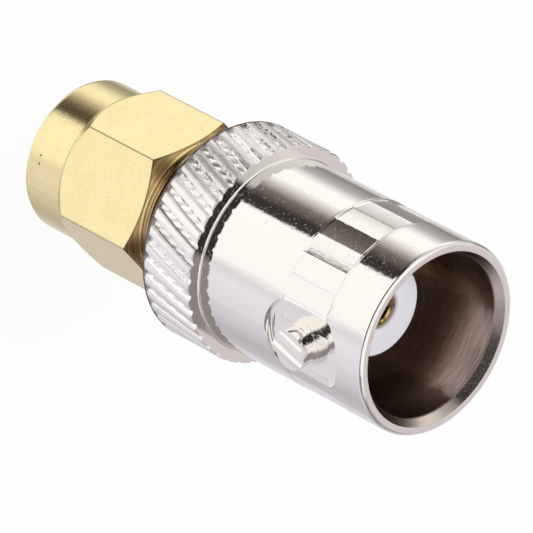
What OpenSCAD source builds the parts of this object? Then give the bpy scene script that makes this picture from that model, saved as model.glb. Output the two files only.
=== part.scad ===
// Coaxial adapter: a threaded plug with a hexagonal coupling nut at one end and a bayonet jack at the other.
// Millimetres. It stands on the front face of the nut, with the axis along +Z and the jack's mouth up.

/* [Bayonet barrel] */
// Outside diameter of the barrel
barrel_d = 9.65; // [9.5:0.01:9.9]
// Length of the barrel from the flange to the lip
barrel_len = 11; // [10.8:0.1:13]
// Inside diameter of the barrel
barrel_bore_d = 8.14; // [8.05:0.01:8.25]
// Inside diameter of the mouth at the lip
mouth_d = 8.72; // [8.5:0.01:8.9]
// Depth of the lead-in cone from the lip
mouth_lead = 0.45; // [0.2:0.05:0.8]
// Radius of the rounded outer edge of the lip
lip_round = 0.2; // [0.05:0.01:0.25]
// Depth of the cavity behind the lip
cavity_depth = 8.4; // [7.6:0.1:8.8]
// Thickness of the step that holds the jack's insulator
web_t = 1.3; // [0.8:0.1:1.6]
// Inside diameter of that step
web_d = 6.2; // [5.6:0.1:6.5]

/* [Bayonet lugs] */
// Diameter of a lug
lug_d = 2; // [1.9:0.01:2.1]
// Distance across the ends of the two lugs
lug_span = 11.3; // [10.8:0.05:11.4]
// Distance of the lugs' axis from the lip
lug_from_lip = 4.05; // [3.9:0.05:4.8]
// Diameter of the milling cutter that leaves the lugs standing
cutter_d = 1.45; // [1.2:0.05:1.5]
// Depth of the flat recess round each lug
recess_depth = 0.34; // [0.25:0.01:0.4]
// Rounding at the edge of that recess
recess_round = 0.24; // [0.1:0.01:0.25]
// Number of steps at the foot of each lug
lug_step_count = 2; // [1:1:3]
// Height of each step
lug_step_h = 0.26; // [0.1:0.01:0.28]
// Width of each step
lug_step_w = 0.1; // [0.05:0.01:0.15]

/* [Milled band] */
// Number of milled flats on the barrel beside each lug
flat_count = 8; // [6:1:9]
// Angle from a lug to the first flat beside it
first_flat_angle = 30; // [28:0.5:34]
// Angle between neighbouring flats
flat_step_angle = 13.3; // [12.5:0.1:14]
// Length of a flat along the barrel
flat_len = 3.1; // [2.6:0.1:3.6]
// Depth of a flat at its middle
flat_depth = 0.08; // [0.06:0.01:0.12]
// Slope of the shallow run-out at the ends of the band
run_out_angle = 25; // [20:1:45]
// Depth to which the ends of the whole band are skimmed
skim_depth = 0.02; // [0.01:0.01:0.02]
// Further depth of that hollow skim at its middle
skim_hollow = 0.01; // [0.005:0.005:0.02]

/* [Knurled flange] */
// Outside diameter of the flange
flange_d = 11; // [10.8:0.1:12]
// Thickness of the flange
flange_t = 3.3; // [3:0.1:4]
// Bevel of the flange's rear edge
flange_rear_bevel = 0.12; // [0.06:0.02:0.2]
// Width of the plain rim at the rear of the knurl, with its bevel
rear_rim_t = 0.24; // [0.2:0.02:0.4]
// Bevel of the flange's front edge
flange_front_bevel = 0.06; // [0.04:0.02:0.2]
// Fillet between the flange and the barrel
root_fillet = 0.1; // [0.05:0.01:0.2]
// Number of knurl ridges round the flange
knurl_count = 40; // [36:1:44]
// Lean of the knurl ridges from the axis
knurl_lean_angle = 17.5; // [10:0.5:22]
// Height of the main ridges above the crossed pattern
ridge_h = 0.13; // [0.08:0.01:0.16]
// Width of a main ridge at its top
ridge_w = 0.32; // [0.2:0.01:0.36]
// Slope of a main ridge's sides, sideways for each step inward
ridge_slope = 0.9; // [0.7:0.1:1.3]
// Depth of the crossing grooves
cross_depth = 0.11; // [0.06:0.01:0.16]
// Number of crossing grooves for each main ridge
cross_per_ridge = 2; // [1:1:2]

/* [Coupling nut] */
// Length of the nut
nut_len = 8.6; // [8.5:0.1:9.4]
// Width of the hexagon across its flats
nut_af = 7.8; // [7.8:0.05:8.2]
// Diameter of the plain front of the nut
nut_front_d = 7.7; // [7.4:0.05:7.75]
// Length of the plain front
nut_front_len = 2.55; // [2.2:0.05:3]
// Length over which the hexagon's front corners are turned away
hex_front_bevel = 0.85; // [0.5:0.05:1]
// Distance from the front to the start of the rear corner bevel
hex_rear_at = 7.9; // [7.6:0.05:7.95]
// Diameter of the collar at the rear of the nut
nut_rear_d = 7.4; // [7.2:0.05:7.6]
// Slope of the rear corner bevel from the nut's end face
rear_bevel_angle = 30; // [25:1:35]
// Radius of the rounded front edge
nut_round = 0.3; // [0.1:0.05:0.4]
// Turn of the nut at rest, from the line through the lugs to a corner
nut_turn = 3; // [0:1:59]

/* [Nut bore] */
// Major diameter of the internal thread, at which the bore is plain
thread_major_d = 6.36; // [6.35:0.01:6.45]
// Diameter at the countersunk front of the thread
thread_entry_d = 6.6; // [6.5:0.05:6.7]
// Depth to the end of the thread
thread_len = 4.4; // [4:0.1:4.6]
// Diameter of the relief behind the thread
relief_d = 6.6; // [6.5:0.02:6.8]
// Length of that relief
relief_len = 1; // [0.8:0.1:1.4]

/* [Plug shell] */
// Outside diameter of the ferrule at the mating face
ferrule_d = 4.55; // [4.48:0.01:4.6]
// Depth of the mating face behind the front of the nut
ferrule_set_back = 3.3; // [3:0.1:3.5]
// Length of the ferrule
ferrule_len = 1.9; // [1.7:0.1:2.1]
// Diameter of the shank on which the nut turns
shank_d = 5.6; // [5.5:0.01:5.64]
// Diameter of the collar that is pressed into the flange
seat_d = 6.9; // [6.7:0.1:7.2]
// Depth of that collar in the flange
seat_depth = 2.1; // [1.6:0.1:2.3]
// Length of the collar that shows between the flange and the nut
collar_show = 1.4; // [1:0.1:1.6]

/* [Retaining ring] */
// Distance of the ring's groove from the rear of the nut
ring_from_rear = 1.8; // [1.6:0.1:2]
// Thickness of the ring along the axis
ring_t = 0.6; // [0.4:0.05:0.7]
// Width of the ring's section
ring_w = 0.65; // [0.6:0.05:0.7]
// Depth of the groove in the shank
ring_groove_depth = 0.35; // [0.3:0.01:0.37]
// Opening of the ring
ring_gap_angle = 30; // [20:5:50]

/* [Gasket] */
// Thickness of the gasket on the shank's front face
gasket_t = 0.7; // [0.5:0.05:0.8]
// Outside diameter of the gasket
gasket_d = 5.5; // [5.3:0.02:5.54]

/* [Insulators] */
// Diameter of the plug's insulator at the mating face
plug_insulator_d = 4.12; // [4:0.02:4.16]
// Diameter of its rear part
plug_insulator_rear_d = 4.8; // [4.6:0.05:4.9]
// Length of its rear part
plug_insulator_rear_len = 4.3; // [3.6:0.1:4.4]
// Diameter of the jack insulator's tower
tower_d = 4.64; // [4.5:0.02:4.72]
// Depth of the tower's end behind the lip
tower_depth = 3.7; // [3.5:0.05:4.3]
// Edge break on the insulators' open ends
insulator_bevel = 0.08; // [0.04:0.02:0.15]

/* [Contacts] */
// Diameter of the plug's centre pin
pin_d = 0.92; // [0.9:0.01:0.94]
// Length of the pin in front of the mating face
pin_len = 2.3; // [2:0.1:2.5]
// Diameter of the pin's body in its insulator
pin_body_d = 1.27; // [1.2:0.01:1.4]
// Diameter of the pin's tail in the socket contact
pin_tail_d = 0.98; // [0.9:0.01:1.05]
// Length of that tail
pin_tail_len = 1.5; // [1.2:0.1:1.6]
// Outside diameter of the socket contact
socket_d = 1.9; // [1.8:0.02:2.1]
// Diameter of the socket's bore
socket_bore_d = 1.38; // [1.34:0.01:1.42]
// Depth of the socket's bore
socket_bore_depth = 4.6; // [4:0.1:5]
// Distance of the socket's end behind the end of the tower
socket_recess = 0.15; // [0.1:0.05:0.4]
// Width of the slots between the socket's fingers
slot_w = 0.2; // [0.15:0.01:0.22]
// Length of those slots
slot_len = 3.4; // [2.5:0.1:4]
// Turn of the first slot from the line through the lugs
slot_turn = 80; // [0:5:85]
// Number of fingers
finger_count = 4; // [2:1:4]
// Diameter of the collar at the socket's rear
socket_collar_d = 2.6; // [2.4:0.1:3]
// Length of that collar
socket_collar_len = 1.6; // [1.4:0.1:2]

/* [Edges] */
// Small edge break on the nut, the ferrule and the socket contact
edge_break = 0.08; // [0.04:0.01:0.1]

/* [Clearances] */
// Radial gap between the nut's bore and the shank
running_gap = 0.05; // [0.03:0.01:0.08]
// Gap at each side of the ring in its grooves
ring_gap = 0.1; // [0.05:0.01:0.12]
// Radial gap between pieces that are pressed together
press_gap = 0.01; // [0.005:0.005:0.02]
// Gap between the rear of the nut and the shell's collar
nut_play = 0.3; // [0.2:0.05:0.5]

/* [Hidden] */
$fn = 96;

// Colours of the finishes
nickel = [0.86, 0.85, 0.84];
satin_gold = [0.9, 0.8, 0.55];
bright_gold = [0.93, 0.74, 0.32];
ptfe_white = [0.93, 0.93, 0.96];
spring_bronze = [0.75, 0.56, 0.3];
silicone_red = [0.75, 0.25, 0.16];

// Heights of the main faces above the front of the nut
collar_z = nut_len + nut_play;
flange_z = collar_z + collar_show;
barrel_z = flange_z + flange_t;
lip_z = barrel_z + barrel_len;
cavity_z = lip_z - cavity_depth;
seat_top_z = cavity_z - web_t;
joint_z = flange_z + seat_depth;
lug_z = lip_z - lug_from_lip;
tower_z = lip_z - tower_depth;
socket_z = tower_z - socket_recess;
mating_z = ferrule_set_back;
shank_z = mating_z + ferrule_len;
groove_w = ring_t + 2 * ring_gap;
groove_z = nut_len - ring_from_rear - groove_w / 2;
insulator_step_z = joint_z - plug_insulator_rear_len;

// Radii that several pieces share
barrel_r = barrel_d / 2;
bore_r = barrel_bore_d / 2;
flange_r = flange_d / 2;
flange_core_r = flange_r - ridge_h;
seat_r = seat_d / 2;
web_r = web_d / 2;
shank_r = shank_d / 2;
nut_bore_r = shank_r + running_gap;
groove_r = shank_r - ring_groove_depth;
ring_in_r = groove_r + ring_gap / 2;
ring_out_r = ring_in_r + ring_w;
nut_groove_r = ring_out_r + ring_gap;
corner_r = nut_af / 2 / cos(30);
recess_r = lug_d / 2 + cutter_d;
recess_x = barrel_r - recess_depth;
flat_x = barrel_r - flat_depth;
pitch_angle = 360 / knurl_count;
cross_count = knurl_count * cross_per_ridge;
cross_angle = 360 / cross_count;

// Lengths that only make cuts run out past the piece
over = 1;

// Points of a quarter circle of radius r about [x, z], from angle a to angle b
function arc(x, z, r, a, b, steps = 6) =
    [for (i = [0:steps]) [x + r * cos(a + (b - a) * i / steps), z + r * sin(a + (b - a) * i / steps)]];

// A solid of revolution from [radius, height] points
module turned(points) {
    rotate_extrude() polygon(points);
}

// A ring from radius r1 to radius r2 over a stretch of height
module ring(r1, r2, z1, z2) {
    turned([[r1, z1], [r2, z1], [r2, z2], [r1, z2]]);
}

// A round bar that points away from the axis, from distance x1 to distance x2
module radial_bar(r, x1, x2, z) {
    translate([x1, 0, z]) rotate([0, 90, 0]) cylinder(r = r, h = x2 - x1);
}

// One milled flat, which runs out at a shallow slope at both ends
module milled_flat() {
    rise = flat_depth + over;
    floor_half = flat_len / 2 - flat_depth / tan(run_out_angle);
    top_half = floor_half + rise / tan(run_out_angle);
    rotate([90, 0, 0]) linear_extrude(2 * over, center = true)
        polygon([[flat_x, lug_z - floor_half], [flat_x, lug_z + floor_half],
                 [flat_x + rise, lug_z + top_half], [flat_x + rise, lug_z - top_half]]);
}

// The milled band: a light hollow skim all round, then two rows of flats, each beside one lug
module milled_band() {
    half_len = flat_len / 2 + skim_depth;
    top_half = half_len + (skim_depth + over) / tan(run_out_angle);
    skim_r = barrel_r - skim_depth;
    turned([[skim_r - skim_hollow, lug_z], [skim_r, lug_z - half_len], [barrel_r + over, lug_z - top_half],
            [barrel_r + over, lug_z + top_half], [skim_r, lug_z + half_len]]);
    for (lug_turn = [0, 180])
        for (i = [0:flat_count - 1])
            rotate([0, 0, lug_turn - first_flat_angle - i * flat_step_angle]) milled_flat();
}

// The flat recess round a lug, with the rounded edge that its cutter leaves
module lug_recess() {
    rise = recess_depth + over;
    translate([recess_x, 0, lug_z]) rotate([0, 90, 0])
        turned(concat([[0, 0]], arc(recess_r - recess_round, recess_round, recess_round, -90, 0),
                      [[recess_r, rise], [0, rise]]));
}

// The flange's outline, which trims the knurl
module flange_outline() {
    turned([[seat_r, flange_z], [flange_r - flange_rear_bevel, flange_z],
            [flange_r, flange_z + flange_rear_bevel], [flange_r, barrel_z - flange_front_bevel],
            [flange_r - flange_front_bevel, barrel_z], [seat_r, barrel_z]]);
}

// A bar across the height z, leaning from the axis, with a section of [outward, sideways] points
module leaning_bar(lean, z, run, section) {
    bar_len = (run + 2 * over) / cos(lean);
    translate([0, 0, z]) rotate([lean, 0, 0]) linear_extrude(bar_len, center = true) polygon(section);
}

// One main ridge of the knurl over a run of height about z, for a rim of radius r that trims it
module knurl_ridge(r, z, run) {
    side_reach = run / 2 * tan(knurl_lean_angle) + r * sin(pitch_angle);
    foot_x = sqrt(pow(r - ridge_h - cross_depth, 2) - pow(side_reach, 2));
    top_w = ridge_w / 2;
    foot_w = top_w + ridge_slope * (r - foot_x);
    leaning_bar(-knurl_lean_angle, z, run, [[foot_x, -foot_w], [r, -top_w], [r + over, -top_w],
                                            [r + over, top_w], [r, top_w], [foot_x, foot_w]]);
}

// The knurled flange: crossing grooves first, then the plain rim and the main ridges over them
module knurled_flange() {
    middle_z = flange_z + flange_t / 2;
    intersection() {
        flange_outline();
        union() {
            difference() {
                ring(seat_r, flange_core_r, flange_z, barrel_z);
                for (i = [0:cross_count - 1]) rotate([0, 0, (i + 0.5) * cross_angle])
                    leaning_bar(knurl_lean_angle, middle_z, flange_t,
                                [[flange_core_r - cross_depth, 0], [flange_core_r + over, cross_depth + over],
                                 [flange_core_r + over, -cross_depth - over]]);
            }
            ring(seat_r, flange_r, flange_z, flange_z + rear_rim_t);
            for (i = [0:knurl_count - 1]) rotate([0, 0, i * pitch_angle])
                knurl_ridge(flange_r, middle_z, flange_t);
        }
    }
}

// One lug with its stepped foot. Its end keeps the knurl of the bar that it was turned from
module lug() {
    foot_x = recess_x - recess_depth / 3;
    foot_r = lug_d / 2 + (lug_step_count + 1) * lug_step_w;
    end_r = lug_span / 2;
    intersection() {
        union() {
            for (i = [1:lug_step_count])
                radial_bar(foot_r - i * lug_step_w, foot_x, recess_x + i * lug_step_h, lug_z);
            radial_bar(lug_d / 2, foot_x, end_r - ridge_h, lug_z);
            intersection() {
                radial_bar(lug_d / 2, foot_x, end_r + over, lug_z);
                for (side = [-0.5, 0.5]) rotate([0, 0, side * pitch_angle]) knurl_ridge(end_r, lug_z, lug_d);
            }
        }
        cylinder(r = end_r, h = lip_z);
    }
}

// The barrel with its mouth, cavity and insulator seat
module turned_barrel() {
    turned(concat(
        [[web_r, seat_top_z], [seat_r, seat_top_z], [seat_r, flange_z + flange_t / 2],
         [barrel_r, flange_z + flange_t / 2], [barrel_r, barrel_z]],
        arc(barrel_r + root_fillet, barrel_z + root_fillet, root_fillet, 270, 180),
        arc(barrel_r - lip_round, lip_z - lip_round, lip_round, 0, 90),
        [[mouth_d / 2, lip_z], [bore_r, lip_z - mouth_lead], [bore_r, cavity_z], [web_r, cavity_z]]));
}

// The jack's body: barrel, lugs and knurled flange, turned and milled from one bar
module jack_body() {
    color(nickel) {
        difference() {
            union() {
                knurled_flange();
                turned_barrel();
            }
            milled_band();
            for (turn = [0, 180]) rotate([0, 0, turn]) lug_recess();
        }
        for (turn = [0, 180]) rotate([0, 0, turn]) lug();
    }
}

// The jack's insulator, held between the body's step and the shell
module jack_insulator() {
    hole_r = socket_d / 2 + press_gap;
    collar_r = socket_collar_d / 2 + press_gap;
    base_r = seat_r - press_gap;
    neck_r = web_r - press_gap;
    tower_r = tower_d / 2;
    color(ptfe_white)
        turned([[collar_r, joint_z], [base_r, joint_z], [base_r, seat_top_z], [neck_r, seat_top_z],
                [neck_r, cavity_z], [tower_r, cavity_z], [tower_r, tower_z - insulator_bevel],
                [tower_r - insulator_bevel, tower_z], [hole_r + insulator_bevel, tower_z],
                [hole_r, tower_z - insulator_bevel], [hole_r, joint_z + socket_collar_len],
                [collar_r, joint_z + socket_collar_len]]);
}

// The jack's centre contact, with sprung fingers at its open end
module socket_contact() {
    tail_r = pin_tail_d / 2 + press_gap;
    tail_top_z = joint_z + pin_tail_len + press_gap;
    collar_r = socket_collar_d / 2;
    collar_top_z = joint_z + socket_collar_len;
    out_r = socket_d / 2;
    in_r = socket_bore_d / 2;
    floor_z = socket_z - socket_bore_depth;
    color(bright_gold) difference() {
        turned([[tail_r, joint_z], [collar_r, joint_z], [collar_r, collar_top_z], [out_r, collar_top_z],
                [out_r, socket_z - edge_break], [out_r - edge_break, socket_z],
                [in_r + edge_break, socket_z], [in_r, socket_z - edge_break],
                [in_r, floor_z], [0, floor_z], [0, tail_top_z], [tail_r, tail_top_z]]);
        for (i = [0:finger_count - 1]) rotate([0, 0, slot_turn + i * 360 / finger_count])
            translate([0, -slot_w / 2, socket_z - slot_len]) cube([socket_d, slot_w, slot_len + over]);
    }
}

// The plug's shell: ferrule, shank with the ring's groove, and the collar pressed into the flange
module plug_shell() {
    front_r = plug_insulator_d / 2 + press_gap;
    rear_r = plug_insulator_rear_d / 2 + press_gap;
    collar_r = seat_r - press_gap;
    ferrule_r = ferrule_d / 2;
    color(bright_gold)
        turned([[front_r, mating_z], [ferrule_r - edge_break, mating_z], [ferrule_r, mating_z + edge_break],
                [ferrule_r, shank_z], [shank_r, shank_z], [shank_r, groove_z], [groove_r, groove_z],
                [groove_r, groove_z + groove_w], [shank_r, groove_z + groove_w],
                [shank_r, collar_z], [collar_r, collar_z], [collar_r, joint_z],
                [rear_r, joint_z], [rear_r, insulator_step_z], [front_r, insulator_step_z]]);
}

// The plug's insulator, flush with the ferrule's end
module plug_insulator() {
    hole_r = pin_body_d / 2 + press_gap;
    front_r = plug_insulator_d / 2;
    rear_r = plug_insulator_rear_d / 2;
    color(ptfe_white)
        turned([[hole_r, mating_z], [front_r, mating_z], [front_r, insulator_step_z],
                [rear_r, insulator_step_z], [rear_r, joint_z], [hole_r, joint_z]]);
}

// The plug's centre pin, whose tail enters the socket contact
module pin_contact() {
    tip_z = mating_z - pin_len;
    nose = pin_d / 2;
    color(bright_gold)
        turned([[0, tip_z], [nose / 3, tip_z], [pin_d / 2, tip_z + nose], [pin_d / 2, mating_z],
                [pin_body_d / 2, mating_z], [pin_body_d / 2, joint_z], [pin_tail_d / 2, joint_z],
                [pin_tail_d / 2, joint_z + pin_tail_len], [0, joint_z + pin_tail_len]]);
}

// The outside of the nut: a turned blank, a little larger than the corners, with six flats milled on it
module nut_outside() {
    front_r = nut_front_d / 2;
    rear_r = nut_rear_d / 2;
    blank_r = corner_r + edge_break;
    front_run = hex_front_bevel * (blank_r - front_r) / (corner_r - front_r);
    rear_slope = tan(rear_bevel_angle);
    difference() {
        turned(concat([[0, 0]], arc(front_r - nut_round, nut_round, nut_round, -90, 0),
                      [[front_r, nut_front_len], [blank_r, nut_front_len + front_run],
                       [blank_r, hex_rear_at + (corner_r - blank_r) * rear_slope],
                       [rear_r, hex_rear_at + (corner_r - rear_r) * rear_slope],
                       [rear_r, nut_len - edge_break], [rear_r - edge_break, nut_len], [0, nut_len]]));
        for (i = [0:5]) rotate([0, 0, nut_turn + (i + 0.5) * 60])
            translate([nut_af / 2, -corner_r, 0]) cube([over, 2 * corner_r, nut_len]);
    }
}

// The coupling nut, bored for the thread at its front and for the shank behind it
module coupling_nut() {
    entry_r = thread_entry_d / 2;
    major_r = thread_major_d / 2;
    relief_r = relief_d / 2;
    entry_depth = entry_r - major_r;
    relief_z = thread_len + relief_len;
    color(satin_gold) difference() {
        nut_outside();
        turned([[0, -over], [entry_r, -over], [entry_r, 0], [major_r, entry_depth], [major_r, thread_len],
                [relief_r, thread_len], [relief_r, relief_z], [nut_bore_r, relief_z], [nut_bore_r, groove_z],
                [nut_groove_r, groove_z], [nut_groove_r, groove_z + groove_w],
                [nut_bore_r, groove_z + groove_w], [nut_bore_r, nut_len + over], [0, nut_len + over]]);
    }
}

// The open spring ring that keeps the nut on the shank
module snap_ring() {
    color(spring_bronze)
        translate([0, 0, groove_z + ring_gap]) rotate([0, 0, ring_gap_angle / 2])
            rotate_extrude(angle = 360 - ring_gap_angle)
                translate([ring_in_r, 0]) square([ring_w, ring_t]);
}

// The soft gasket on the shank's front face
module gasket() {
    color(silicone_red)
        ring(ferrule_d / 2 + press_gap, gasket_d / 2, shank_z - gasket_t, shank_z);
}

jack_body();
jack_insulator();
socket_contact();
plug_shell();
plug_insulator();
pin_contact();
coupling_nut();
snap_ring();
gasket();
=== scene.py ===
import math

import bpy
from mathutils import Matrix, Vector


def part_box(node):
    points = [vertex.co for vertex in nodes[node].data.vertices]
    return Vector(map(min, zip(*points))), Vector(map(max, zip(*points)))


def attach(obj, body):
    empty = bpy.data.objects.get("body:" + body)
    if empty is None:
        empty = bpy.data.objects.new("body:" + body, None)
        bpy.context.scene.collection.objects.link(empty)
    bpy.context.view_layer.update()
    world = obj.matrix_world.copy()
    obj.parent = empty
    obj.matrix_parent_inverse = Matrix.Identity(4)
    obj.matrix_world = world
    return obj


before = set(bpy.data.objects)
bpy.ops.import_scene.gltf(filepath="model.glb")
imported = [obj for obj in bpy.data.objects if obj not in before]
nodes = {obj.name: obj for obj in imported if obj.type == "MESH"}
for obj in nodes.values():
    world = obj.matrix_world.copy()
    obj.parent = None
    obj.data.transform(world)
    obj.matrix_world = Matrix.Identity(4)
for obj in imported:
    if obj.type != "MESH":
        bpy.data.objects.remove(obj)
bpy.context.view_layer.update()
MM = 0.001

# Camera of the photograph, in the part's frame
CAMERA_AT = Vector((216.38, -187.72, 256.10)) * MM
CAMERA_RIGHT = Vector((-0.73796, 0.02285, 0.67445))
CAMERA_UP = Vector((-0.35296, -0.86490, -0.35690))
CAMERA_BACK = Vector((0.57518, -0.50143, 0.64633))
FOCAL_PIXELS = 8000.0
IMAGE_PIXELS = 533.0
SENSOR = 36.0
CLIP_NEAR, CLIP_FAR = 0.01, 10.0

# Places on the body that its finish follows, in millimetres
body_low, body_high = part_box("jack_body")
LIP_Z = body_high.z / MM
BARREL_R = 4.825
BORE_R = 4.07
LEAD_DEPTH = 0.45
LEAD_MIDDLE_R, LEAD_HALF = BORE_R + 0.16, 0.15
LUG_Z = LIP_Z - 4.05
RECESS_R = 2.45
BAND_HALF = 1.57
CUT_MIDDLE_R, CUT_HALF = BARREL_R - 0.2, 0.19
FLANGE_Z = body_low.z / MM
FLANGE_R = body_high.y / MM
FLANGE_T = 3.3
RIM_T = 0.24
GROOVE_DEPTH = 0.2
FOOT_MIDDLE, FOOT_HALF = 0.235, 0.045

# Angles about the axis, in degrees
FULL_TURN = 360.0
FIRST_FLAT, FLAT_STEP = 30.0, 13.3
KNURL_STEP, KNURL_LEAN = 9.0, 17.5

# Painted light in the bore: a painted highlight, a brass painted reflection and a side darkened as painted
# shade, each side's middle and half in degrees, and where the painted highlight fades in millimetres
HIGHLIGHT_SIDE = (143.5, 32.0)
BRASS_REFLECTION_SIDE = (183.0, 7.0)
SHADED_SIDE = (72.0, 38.0)
HIGHLIGHT_FROM, HIGHLIGHT_TO = 1.2, 2.3

# Places on the nut that its finish follows, in millimetres and degrees
NUT_FLAT_R = 3.9
NUT_CORNER_R = NUT_FLAT_R / math.cos(math.radians(30))
NUT_TURN, NUT_STEP = 3.0, 60.0
NUT_BEVEL_Z, NUT_BEVEL_SLOPE = 7.9, math.tan(math.radians(30))
NUT_EDGE_R = 0.15
NUT_SPECKS = ((3.475, -1.657, 0.92), (3.629, -1.285, 0.96))
SPECK_R, SPECK_CORE_R = 0.07, 0.04

# Edges painted dark brown: the cosine of the angle between the rounded normal and the face's own
DARK_EDGE_FULL, DARK_EDGE_NONE = 0.90, 0.998

# Thread in the nut's bore, in millimetres
THREAD_PITCH = 25.4 / 36
THREAD_MAJOR_R = 3.18
THREAD_MINOR_R = 2.86
THREAD_FROM, THREAD_TO = 0.45, 4.1
THREAD_ROOT_HALF = 0.44 * THREAD_PITCH
THREAD_CREST_HALF = 0.10 * THREAD_PITCH
THREAD_SINK = 0.02
STEPS_PER_TURN = 60

# Colours of the finishes
NICKEL = (0.95, 0.92, 0.88)
DIM_NICKEL = (0.86, 0.83, 0.80)
# A lighter copy of the nickel for the knurl, as painted light
LIT_NICKEL = (1.0, 0.98, 0.96)
BORE = (0.41, 0.275, 0.19)
# A painted highlight and a brass painted reflection in the bore
BORE_HIGHLIGHT = (0.62, 0.49, 0.42)
BRASS_REFLECTION = (0.90, 0.62, 0.38)
# Painted shade, deep: the gap at the knurl's rear rim and one side of the bore
DEEP_SHADE = (0.10, 0.07, 0.06)
# Painted shade for the knurl's crevices
CREVICE_SHADE = (0.20, 0.17, 0.16)
SATIN_GOLD = (1.0, 0.88, 0.50)
DEEP_GOLD = (0.95, 0.81, 0.43)
# Painted reflection on the nut's rear bevel, dark and light
REFLECTED_DARK_GOLD = (0.60, 0.41, 0.18)
REFLECTED_LIGHT_GOLD = (1.0, 0.84, 0.48)
BROWN = (0.12, 0.055, 0.012)
GOLD = (0.93, 0.66, 0.25)
PTFE = (0.78, 0.775, 0.83)
BRONZE = (0.50, 0.30, 0.10)
SILICONE = (0.50, 0.06, 0.03)
PAPER = (0.82, 0.82, 0.82)
WHITE = (1.0, 1.0, 1.0)

# Studio that the metal shows: an angle about the axis from the camera's side, a tint and a level
FACING = math.atan2(CAMERA_BACK.y, CAMERA_BACK.x)
WARM = (1.0, 0.985, 0.965)
COOL = (0.98, 0.95, 1.03)
UMBER = (1.0, 0.80, 0.72)
DUSK = (1.0, 0.91, 0.94)
TABLE = [
    (-180, WARM, 0.94), (-150, WARM, 0.60), (-144, WARM, 0.24), (-120, WARM, 0.48), (-104, WARM, 1.06),
    (-86, WARM, 1.06), (-64, UMBER, 0.21), (-48, UMBER, 0.04), (-36.5, UMBER, 0.05), (-35, WARM, 1.06),
    (30, WARM, 1.03), (40, COOL, 0.76), (52, COOL, 0.86), (80, COOL, 0.78), (120, COOL, 0.51),
    (140, COOL, 0.56), (152, COOL, 0.72), (180, COOL, 0.78),
]
ROOM = [
    (-180, DUSK, 0.66), (-140, WARM, 0.80), (-60, WARM, 0.62), (-52, UMBER, 0.025), (38, UMBER, 0.025),
    (44, DUSK, 0.28), (150, DUSK, 0.28), (172, DUSK, 0.60), (180, DUSK, 0.66),
]

# Heights at which the room and the white ends begin and are full, as the upward part of a direction
ROOM_FROM, ROOM_FULL = 0.20, 0.34
CEILING_FROM, CEILING_FULL = 0.71, 0.78
BELOW_FROM, BELOW_FULL = -0.90, -0.96
SOFT_LIGHT = 0.40

# Floor in metres, and the lamp in millimetres and watts
FLOOR_HALF = 3.0
FLOOR_Z = -0.01 * MM
FLOOR_WHITE = 0.94
LAMP_AT, LAMP_AIM = Vector((-60, -120, 420)), Vector((0, 0, 12))
LAMP_SIZE = (360, 300)
LAMP_POWER = 1.6


def shade(colour, share):
    """The colour, darker or lighter by this share."""
    return tuple(share * part for part in colour)


def opaque(colour):
    """The colour with the fourth part that sockets want."""
    return (*colour, 1)


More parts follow.
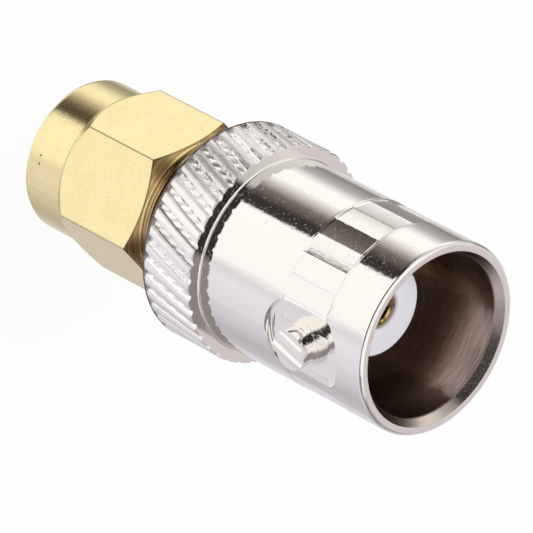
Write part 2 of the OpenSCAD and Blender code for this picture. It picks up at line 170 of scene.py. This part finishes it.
# Node trees
class Tree:
    """Writes a node tree: most methods add a node and give back its output."""

    def __init__(self, owner):
        owner.use_nodes = True
        self.tree = owner.node_tree
        self.tree.nodes.clear()

    def node(self, kind, **inputs):
        """Adds a node, with its inputs by name, and gives back the node itself."""
        made = self.tree.nodes.new(kind)
        for key, value in inputs.items():
            self.put(value, made.inputs[key])
        return made

    def put(self, value, socket):
        """Links an output to the socket, or sets a plain value on it."""
        if isinstance(value, bpy.types.NodeSocket):
            self.tree.links.new(value, socket)
        else:
            socket.default_value = value

    def put_colour(self, colour, socket):
        self.put(opaque(colour) if isinstance(colour, tuple) else colour, socket)

    def math(self, operation, a, b=0.0):
        made = self.tree.nodes.new("ShaderNodeMath")
        made.operation = operation
        self.put(a, made.inputs[0])
        self.put(b, made.inputs[1])
        return made.outputs[0]

    def vector_math(self, operation, a, b):
        made = self.tree.nodes.new("ShaderNodeVectorMath")
        made.operation = operation
        self.put(a, made.inputs[0])
        self.put(b, made.inputs[1])
        return made.outputs["Value"]

    def sum(self, *values):
        total = values[0]
        for value in values[1:]:
            total = self.math("ADD", total, value)
        return total

    def product(self, *values):
        total = values[0]
        for value in values[1:]:
            total = self.math("MULTIPLY", total, value)
        return total

    def total(self, *rows):
        """The sum of the rows, each the product of its own values."""
        return self.sum(*(self.product(*row) for row in rows))

    def less(self, a, b):
        return self.math("SUBTRACT", a, b)

    def other(self, share):
        """What is left of 1."""
        return self.less(1.0, share)

    def length(self, a, b):
        return self.math("SQRT", self.total((a, a), (b, b)))

    def steps(self, value, low, high):
        """0 at low, 1 at high, smooth between, and the same beyond them."""
        made = self.node("ShaderNodeMapRange", Value=value)
        made.interpolation_type = "SMOOTHSTEP"
        made.inputs["From Min"].default_value = low
        made.inputs["From Max"].default_value = high
        return made.outputs[0]

    def within(self, value, middle, half, soft):
        """1 where value lies within half of the middle, 0 outside, with edges this soft."""
        away = self.math("ABSOLUTE", self.less(value, middle))
        return self.other(self.steps(away, half - soft, half + soft))

    def beside(self, value, step):
        """How far value lies from the nearest whole number of steps."""
        whole = self.product(self.math("ROUND", self.math("DIVIDE", value, step)), step)
        return self.less(value, whole)

    def ramp(self, share, stops):
        """A colour that runs through these stops, each a place from 0 to 1 and a colour."""
        made = self.tree.nodes.new("ShaderNodeValToRGB")
        elements = made.color_ramp.elements
        while len(elements) < len(stops):
            elements.new(0.5)
        for element, (place, colour) in zip(elements, stops):
            element.position = place
            element.color = opaque(colour)
        self.put(share, made.inputs[0])
        return made.outputs[0]

    def mix(self, share, a, b):
        """Colour a where share is 0, colour b where it is 1."""
        made = self.tree.nodes.new("ShaderNodeMix")
        made.data_type = "RGBA"
        self.put(share, made.inputs[0])
        self.put_colour(a, made.inputs[6])
        self.put_colour(b, made.inputs[7])
        return made.outputs[2]

    def blend(self, share, a, b):
        """Number a where share is 0, number b where it is 1."""
        made = self.tree.nodes.new("ShaderNodeMix")
        self.put(share, made.inputs[0])
        self.put(a, made.inputs[2])
        self.put(b, made.inputs[3])
        return made.outputs[0]

    def either(self, share, a, b):
        """Shader a where share is 0, shader b where it is 1, as a node."""
        made = self.node("ShaderNodeMixShader", Fac=share)
        self.put(a.outputs[0], made.inputs[1])
        self.put(b.outputs[0], made.inputs[2])
        return made

    def vector(self, x, y, z):
        made = self.tree.nodes.new("ShaderNodeCombineXYZ")
        for value, socket in zip((x, y, z), made.inputs):
            self.put(value, socket)
        return made.outputs[0]

    def noise(self, where, size, detail=2.0):
        """Smooth noise about 0, between about -0.5 and 0.5, with spots of about this size."""
        made = self.node("ShaderNodeTexNoise", Vector=where, Scale=1.0 / size, Detail=detail)
        return self.less(made.outputs[0], 0.5)

    def turning_marks(self, x, y, z, spread, size):
        """Noise in rings about the axis, which a smaller spread draws out further."""
        where = self.vector(self.product(x, spread), self.product(y, spread), z)
        return self.noise(where, size, 3.0)

    def millimetres(self):
        """Place on the piece in millimetres: the vector and its three parts."""
        made = self.tree.nodes.new("ShaderNodeVectorMath")
        made.operation = "SCALE"
        made.inputs["Scale"].default_value = 1 / MM
        self.put(self.node("ShaderNodeTexCoord").outputs["Object"], made.inputs[0])
        parts = self.node("ShaderNodeSeparateXYZ", Vector=made.outputs[0])
        return made.outputs[0], parts.outputs[0], parts.outputs[1], parts.outputs[2]

    def degrees(self, x, y):
        """Angle about the axis."""
        return self.product(self.math("ARCTAN2", y, x), math.degrees(1))

    def edge_share(self, rounded):
        """0 on plain faces, towards 1 at an edge, where this rounded normal leaves the face's own."""
        plain = self.node("ShaderNodeNewGeometry").outputs["Normal"]
        cosine = self.vector_math("DOT_PRODUCT", rounded, plain)
        return self.other(self.steps(cosine, DARK_EDGE_FULL, DARK_EDGE_NONE))

    def bump(self, microns, normal=None):
        """The normal of a surface with these heights."""
        made = self.node("ShaderNodeBump", Strength=1.0, Distance=0.001 * MM, Height=microns)
        if normal is not None:
            self.put(normal, made.inputs["Normal"])
        return made.outputs[0]

    def finish(self, shader, kind="ShaderNodeOutputMaterial"):
        """Links this shader's node to the tree's output."""
        made = self.tree.nodes.new(kind)
        self.tree.links.new(shader.outputs[0], made.inputs[0])


# Camera
def make_camera():
    data = bpy.data.cameras.new("photo_camera")
    data.sensor_width = SENSOR
    data.lens = FOCAL_PIXELS * SENSOR / IMAGE_PIXELS
    data.clip_start = CLIP_NEAR
    data.clip_end = CLIP_FAR
    camera = bpy.data.objects.new("photo_camera", data)
    turn = Matrix((CAMERA_RIGHT, CAMERA_UP, CAMERA_BACK)).transposed()
    camera.matrix_world = Matrix.Translation(CAMERA_AT) @ turn.to_4x4()
    bpy.context.scene.collection.objects.link(camera)
    bpy.context.scene.camera = camera


# Studio
def round_about(tree, x, y):
    """0 to 1 for angles from -180 to 180 degrees about Z, with the camera's side at 0.5."""
    c, s = math.cos(FACING), math.sin(FACING)
    ahead = tree.total((x, c), (y, s))
    aside = tree.total((y, c), (x, -s))
    return tree.sum(tree.math("DIVIDE", tree.math("ARCTAN2", aside, ahead), 2 * math.pi), 0.5)


def stops(panels):
    """The panels as a ramp's stops."""
    return [(0.5 + angle / FULL_TURN, shade(tint, level)) for angle, tint, level in panels]


def make_world():
    """White to the camera, soft light on the part, and the studio's panels in what its metal shows."""
    world = bpy.data.worlds.new("studio")
    bpy.context.scene.world = world
    tree = Tree(world)
    path = tree.node("ShaderNodeLightPath")
    direction = tree.node("ShaderNodeTexCoord").outputs["Generated"]
    way = tree.node("ShaderNodeSeparateXYZ", Vector=direction)
    share = round_about(tree, way.outputs[0], way.outputs[1])
    up = way.outputs[2]
    table = tree.ramp(share, stops(TABLE))
    room = tree.ramp(share, stops(ROOM))
    sides = tree.mix(tree.steps(up, ROOM_FROM, ROOM_FULL), table, room)
    ceiling = tree.steps(up, CEILING_FROM, CEILING_FULL)
    below = tree.steps(up, BELOW_FROM, BELOW_FULL)
    panels = tree.mix(tree.math("MAXIMUM", ceiling, below), sides, WHITE)
    soft = tree.node("ShaderNodeBackground", Color=opaque(WHITE), Strength=SOFT_LIGHT)
    glossy = tree.node("ShaderNodeBackground", Color=panels, Strength=1.0)
    white = tree.node("ShaderNodeBackground", Color=opaque(WHITE), Strength=1.0)
    reflected = tree.either(path.outputs["Is Glossy Ray"], soft, glossy)
    seen = tree.either(path.outputs["Is Camera Ray"], reflected, white)
    tree.finish(seen, "ShaderNodeOutputWorld")


def make_floor():
    """Pale paper, nearly white to the camera, which keeps the part's shadow."""
    corners = [(x * FLOOR_HALF, y * FLOOR_HALF, FLOOR_Z) for x, y in ((-1, -1), (1, -1), (1, 1), (-1, 1))]
    mesh = bpy.data.meshes.new("floor")
    mesh.from_pydata(corners, [], [(0, 1, 2, 3)])
    floor = bpy.data.objects.new("floor", mesh)
    floor.visible_glossy = False
    bpy.context.scene.collection.objects.link(floor)
    material = bpy.data.materials.new("floor")
    tree = Tree(material)
    path = tree.node("ShaderNodeLightPath")
    paper = tree.node("ShaderNodeBsdfDiffuse", Color=opaque(PAPER))
    white = tree.node("ShaderNodeEmission", Color=opaque(WHITE), Strength=1.0)
    tree.finish(tree.either(tree.product(path.outputs["Is Camera Ray"], FLOOR_WHITE), paper, white))
    mesh.materials.append(material)


def make_lamp():
    """A softbox above, which the metal does not show."""
    data = bpy.data.lights.new("softbox", "AREA")
    data.shape = "RECTANGLE"
    data.size = LAMP_SIZE[0] * MM
    data.size_y = LAMP_SIZE[1] * MM
    data.energy = LAMP_POWER
    lamp = bpy.data.objects.new("softbox", data)
    lamp.location = LAMP_AT * MM
    lamp.rotation_euler = (LAMP_AIM - LAMP_AT).to_track_quat("-Z", "Y").to_euler()
    lamp.visible_glossy = False
    bpy.context.scene.collection.objects.link(lamp)


make_camera()
make_world()
make_floor()
make_lamp()


# Finishes: sizes of marks in millimetres, heights in microns
def surface(tree, colour, roughness, normal, metallic=1.0):
    """Ends a finish's tree with its shader."""
    made = tree.node("ShaderNodeBsdfPrincipled", Metallic=metallic, Roughness=roughness, Normal=normal)
    tree.put_colour(colour, made.inputs["Base Color"])
    tree.finish(made)


def bore_colour(tree, place, angle, z, turned):
    """Dull brown with turning marks, with a painted highlight inside the mouth, a brass painted reflection
    in a streak and a side darkened as painted shade.
    """
    blotches = tree.product(tree.noise(place, 0.5, 3.0), 16.0)

    def side(towards, half):
        away = tree.beside(tree.sum(angle, blotches, -towards), FULL_TURN)
        return tree.within(away, 0.0, half, 5.0)

    marks = tree.steps(turned, -0.15, 0.15)
    deep = tree.steps(z, LIP_Z - HIGHLIGHT_FROM, LIP_Z - HIGHLIGHT_TO)
    dull = tree.mix(marks, shade(BORE, 0.82), shade(BORE, 1.18))
    # Painted shade on one side of the bore
    dull = tree.mix(tree.product(side(*SHADED_SIDE), 0.65), dull, DEEP_SHADE)
    # A brass painted reflection in a streak, deeper in the bore
    dull = tree.mix(tree.product(side(*BRASS_REFLECTION_SIDE), deep, 0.6), dull, BRASS_REFLECTION)
    # A painted highlight just inside the mouth, on one side
    highlight = tree.mix(marks, shade(BORE_HIGHLIGHT, 0.80), shade(BORE_HIGHLIGHT, 1.24))
    return tree.mix(tree.product(side(*HIGHLIGHT_SIDE), tree.other(deep)), dull, highlight)


def nickel():
    """Bright plate: turned barrel, milled flats, rolled knurl with painted shade in its crevices and at its
    rear rim, and a dull dark bore with a painted highlight, a painted reflection and a painted shaded side.
    """
    material = bpy.data.materials.new("nickel")
    tree = Tree(material)
    place, x, y, z = tree.millimetres()
    radius = tree.length(x, y)
    angle = tree.degrees(x, y)

    # The bore and its lead-in
    inside = tree.other(tree.steps(radius, BORE_R + 0.01, BORE_R + 0.05))
    lead_top = tree.steps(z, LIP_Z - LEAD_DEPTH - 0.05, LIP_Z - LEAD_DEPTH)
    lead_in = tree.product(tree.within(radius, LEAD_MIDDLE_R, LEAD_HALF, 0.02), lead_top)

    # The milled band, whose flats are slightly hollow with a fine burr between them, and the lugs' recesses
    cut = tree.within(radius, CUT_MIDDLE_R, CUT_HALF, 0.01)
    milled = tree.product(tree.within(z, LUG_Z, BAND_HALF, 0.02), cut)
    from_flat = tree.beside(tree.sum(angle, FIRST_FLAT), FLAT_STEP)
    hollow = tree.product(from_flat, math.radians(BARREL_R))
    from_burr = tree.beside(tree.sum(angle, FIRST_FLAT + FLAT_STEP / 2), FLAT_STEP)
    burr = tree.product(milled, tree.other(tree.steps(tree.math("ABSOLUTE", from_burr), 0.0, 0.45)))
    from_lug = tree.length(y, tree.less(z, LUG_Z))
    recess = tree.product(tree.other(tree.steps(from_lug, RECESS_R - 0.05, RECESS_R)), cut)

    # The knurl: its ridges' tops, grooves and feet, darkened as painted shade, and the plain rear rim,
    # painted dark as the shade of the gap to the nut
    flange_top = FLANGE_Z + FLANGE_T
    knurl = tree.product(tree.steps(radius, BARREL_R + 0.2, BARREL_R + 0.3),
                         tree.other(tree.steps(z, flange_top - 0.02, flange_top)))
    ridge_top = tree.product(knurl, tree.steps(radius, FLANGE_R - 0.05, FLANGE_R - 0.02))
    floor_r = FLANGE_R - GROOVE_DEPTH
    groove = tree.product(knurl, tree.other(tree.steps(radius, floor_r - 0.04, floor_r + 0.04)))
    rim = tree.product(knurl, tree.steps(z, FLANGE_Z + RIM_T + 0.02, FLANGE_Z + RIM_T - 0.02))
    lean = math.degrees(math.tan(math.radians(KNURL_LEAN)) / FLANGE_R)
    ridge = tree.sum(angle, tree.product(tree.less(z, FLANGE_Z + FLANGE_T / 2), -lean))
    across = tree.product(tree.beside(ridge, KNURL_STEP), math.radians(FLANGE_R))
    patches = tree.steps(tree.noise(place, 0.40), 0.0, 0.12)
    foot = tree.product(knurl, patches, tree.within(across, FOOT_MIDDLE, FOOT_HALF, 0.03))
    along_ridge = tree.vector(tree.product(ridge, math.radians(FLANGE_R)), tree.product(z, 0.15), 0.0)

    plating = tree.noise(place, 0.30, 3.0)
    pits = tree.steps(tree.noise(place, 0.11), 0.17, 0.22)
    turned = tree.turning_marks(x, y, z, 0.05, 0.05)
    strokes = tree.noise(tree.vector(x, y, tree.product(z, 0.08)), 0.07)
    rings = tree.math("SINE", tree.product(from_lug, 2 * math.pi / 0.16))
    microns = tree.total(
        (plating, 3.2),
        (tree.noise(place, 0.05), 0.7),
        (pits, -2.5),
        (turned, tree.blend(inside, 0.12, 1.2)),
        (strokes, milled, 1.4),
        (rings, recess, 0.10),
        (tree.noise(place, 0.10, 4.0), knurl, 17.0),
        (tree.noise(place, 0.34), knurl, 24.0),
        (tree.noise(along_ridge, 0.08), knurl, 7.0),
        (tree.noise(place, 0.09, 3.0), lead_in, 5.0),
        (ridge_top, across, across, -560.0),
        (milled, hollow, hollow, 44.0),
        (burr, tree.sum(4.0, tree.product(plating, 14.0))),
    )
    smudges = tree.noise(place, 1.6, 4.0)
    roughness = tree.sum(0.07, tree.total(
        (smudges, 0.05),
        (knurl, 0.17),
        (ridge_top, 0.12),
        (milled, 0.05),
        (inside, 0.27),
        (lead_in, 0.15),
    ))
    tone = tree.product(tree.sum(0.5, tree.product(smudges, 0.8)), 0.10)
    # The knurl gets a lighter copy of the nickel: painted light
    bright = tree.mix(knurl, tree.mix(tone, NICKEL, DIM_NICKEL), LIT_NICKEL)
    # Painted shade: a little in the grooves, more at the feet of the ridges
    painted_shade = tree.math("MAXIMUM", tree.product(groove, 0.15), tree.product(foot, 0.8))
    bright = tree.mix(painted_shade, bright, CREVICE_SHADE)
    # The rear rim painted almost black: painted shade of the gap to the nut
    bright = tree.mix(tree.product(rim, 0.9), bright, DEEP_SHADE)
    mouth = tree.mix(tree.product(lead_in, 0.45), bright, BORE)
    colour = tree.mix(inside, mouth, bore_colour(tree, place, angle, z, turned))
    surface(tree, colour, roughness, tree.bump(microns))
    return material


def satin_gold():
    """Fine-grained gold plate on the nut, with edges painted dark brown, a rear bevel painted as streaked
    reflection, and two specks.
    """
    material = bpy.data.materials.new("satin_gold")
    tree = Tree(material)
    place, x, y, z = tree.millimetres()
    radius = tree.length(x, y)

    # Edges painted dark brown, and the rear bevel with its corners, painted as reflection
    edges = tree.node("ShaderNodeBevel", Radius=NUT_EDGE_R * MM)
    edges.samples = 8
    rounded = edges.outputs[0]
    dark_edge_share = tree.edge_share(rounded)
    bevel_line = NUT_BEVEL_Z + NUT_CORNER_R * NUT_BEVEL_SLOPE
    on_bevel = tree.sum(z, tree.product(radius, NUT_BEVEL_SLOPE))
    rear = tree.steps(on_bevel, bevel_line - 0.03, bevel_line - 0.01)
    from_corner = tree.beside(tree.sum(tree.degrees(x, y), -NUT_TURN), NUT_STEP)
    corner = tree.within(from_corner, 0.0, 9.0, 7.0)

    microns = tree.total(
        (tree.noise(place, 0.09, 3.0), 4.0),
        (tree.noise(place, 0.5, 3.0), 5.0),
        (tree.turning_marks(x, y, z, 0.05, 0.06), 0.5),
    )
    clouds = tree.noise(place, 1.2, 4.0)
    mottle = tree.noise(place, 0.16, 3.0)
    streaks = tree.steps(tree.noise(tree.vector(radius, 0.0, 0.0), 0.16), -0.05, 0.08)
    plate = tree.mix(tree.sum(0.5, clouds, tree.product(mottle, 3.0)), SATIN_GOLD, DEEP_GOLD)
    # The rear bevel painted as reflection: darker gold, rings of streaks round the axis and dark brown
    # corners
    bevel = tree.mix(tree.product(corner, 0.8), tree.mix(streaks, REFLECTED_DARK_GOLD, REFLECTED_LIGHT_GOLD), BROWN)
    # The edges painted dark brown
    colour = tree.mix(tree.product(dark_edge_share, 0.8), tree.mix(rear, plate, bevel), BROWN)
    for speck in NUT_SPECKS:
        away = tree.vector_math("DISTANCE", place, speck)
        colour = tree.mix(tree.steps(away, SPECK_R, SPECK_CORE_R), colour, BROWN)
    roughness = tree.sum(0.21, tree.product(clouds, 0.08))
    surface(tree, colour, roughness, tree.bump(microns, rounded))
    return material


def plain_metal(name, colour, roughness, height):
    """A turned metal with fine marks of this height round it."""
    material = bpy.data.materials.new(name)
    tree = Tree(material)
    place, x, y, z = tree.millimetres()
    clouds = tree.noise(place, 0.4, 4.0)
    microns = tree.total(
        (tree.turning_marks(x, y, z, 0.1, 0.05), height),
        (tree.noise(place, 0.15), height),
    )
    surface(tree, tree.mix(tree.sum(0.5, clouds), colour, shade(colour, 0.8)),
            tree.sum(roughness, tree.product(clouds, 0.08)), tree.bump(microns))
    return material


def soft_plastic(name, colour, roughness, darkest):
    """A plain moulded or turned plastic with faint clouds and marks."""
    material = bpy.data.materials.new(name)
    tree = Tree(material)
    place, x, y, _ = tree.millimetres()
    clouds = tree.noise(place, 0.9, 4.0)
    rings = tree.math("SINE", tree.product(tree.length(x, y), 2 * math.pi / 0.14))
    microns = tree.total(
        (rings, 0.25),
        (tree.noise(place, 0.1), 2.0),
    )
    surface(tree, tree.mix(tree.sum(0.5, clouds), colour, shade(colour, darkest)),
            tree.sum(roughness, tree.product(clouds, 0.1)), tree.bump(microns), 0.0)
    return material


def dress(material, *names):
    """Gives these pieces this one material."""
    for name in names:
        held = nodes[name].data.materials
        held.clear()
        held.append(material)


nut_finish = satin_gold()
dress(nickel(), "jack_body")
dress(nut_finish, "coupling_nut")
dress(plain_metal("gold", GOLD, 0.14, 0.4), "socket_contact", "plug_shell", "pin_contact")
dress(soft_plastic("ptfe", PTFE, 0.42, 0.9), "jack_insulator", "plug_insulator")
dress(plain_metal("spring_bronze", BRONZE, 0.3, 0.6), "snap_ring")
dress(soft_plastic("silicone", SILICONE, 0.6, 0.8), "gasket")


# The nut's internal thread
def make_thread():
    """A helical ridge in the nut's plain bore, which runs out over a third of a turn at each end."""
    count = int((THREAD_TO - THREAD_FROM) / THREAD_PITCH * STEPS_PER_TURN)
    run_out = STEPS_PER_TURN / 3
    root_r = THREAD_MAJOR_R + THREAD_SINK
    points, faces = [], []
    for i in range(count + 1):
        angle = 2 * math.pi * i / STEPS_PER_TURN
        rise = THREAD_FROM + THREAD_PITCH * i / STEPS_PER_TURN
        full = min(1.0, i / run_out, (count - i) / run_out)
        crest_r = THREAD_MAJOR_R - full * (THREAD_MAJOR_R - THREAD_MINOR_R)
        profile = ((root_r, -THREAD_ROOT_HALF), (crest_r, -THREAD_CREST_HALF),
                   (crest_r, THREAD_CREST_HALF), (root_r, THREAD_ROOT_HALF))
        for r, dz in profile:
            points.append((r * math.cos(angle) * MM, r * math.sin(angle) * MM, (rise + dz) * MM))
    for i in range(count):
        a, b = 4 * i, 4 * (i + 1)
        for j in range(4):
            k = (j + 1) % 4
            faces.append((a + j, b + j, b + k, a + k))
    last = 4 * count
    faces.append((0, 1, 2, 3))
    faces.append((last + 3, last + 2, last + 1, last))
    mesh = bpy.data.meshes.new("nut_thread")
    mesh.from_pydata(points, [], faces)
    mesh.materials.append(nut_finish)
    thread = bpy.data.objects.new("nut_thread", mesh)
    bpy.context.scene.collection.objects.link(thread)
    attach(thread, "nut")


make_thread()

# Colour management
bpy.context.scene.view_settings.view_transform = "Standard"
bpy.context.view_layer.update()
